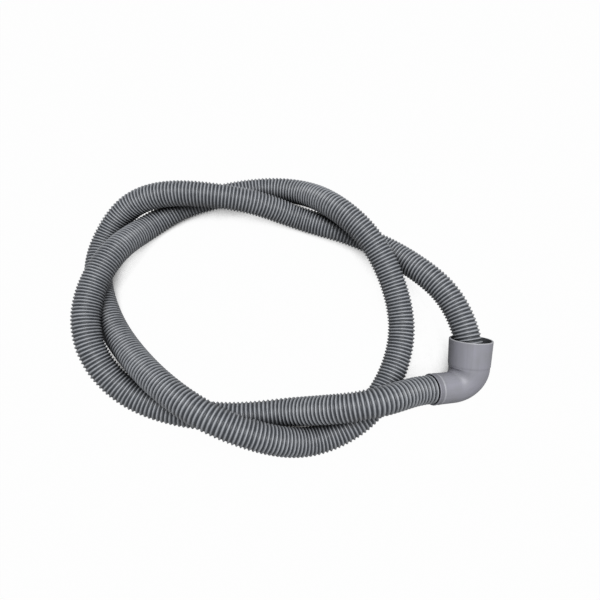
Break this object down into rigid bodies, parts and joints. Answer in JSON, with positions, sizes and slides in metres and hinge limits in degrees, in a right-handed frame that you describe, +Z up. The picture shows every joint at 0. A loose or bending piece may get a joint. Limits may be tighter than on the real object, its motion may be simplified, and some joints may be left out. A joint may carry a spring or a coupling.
{
  "type": "washing machine drain hose",
  "caption": "Grey corrugated drain hose lying in overlapping loops, with a right-angle elbow socket on one end and its free end tucked into the socket",
  "frame": {"origin": "On the floor under the middle of the loops' overall box", "axes": "+Z is up off the floor, +X runs along the loops' long side towards the elbow, and +Y is the way the elbow's mouth looks"},
  "size_m": [0.4489, 0.3194, 0.0623],
  "materials": {
    "hose": "satin blow-moulded polypropylene",
    "elbow": "smooth soft PVC with a low sheen"
  },
  "bodies": {
    "root": {"drain_hose": "hose", "elbow": "elbow"}
  },
  "joints": []
}
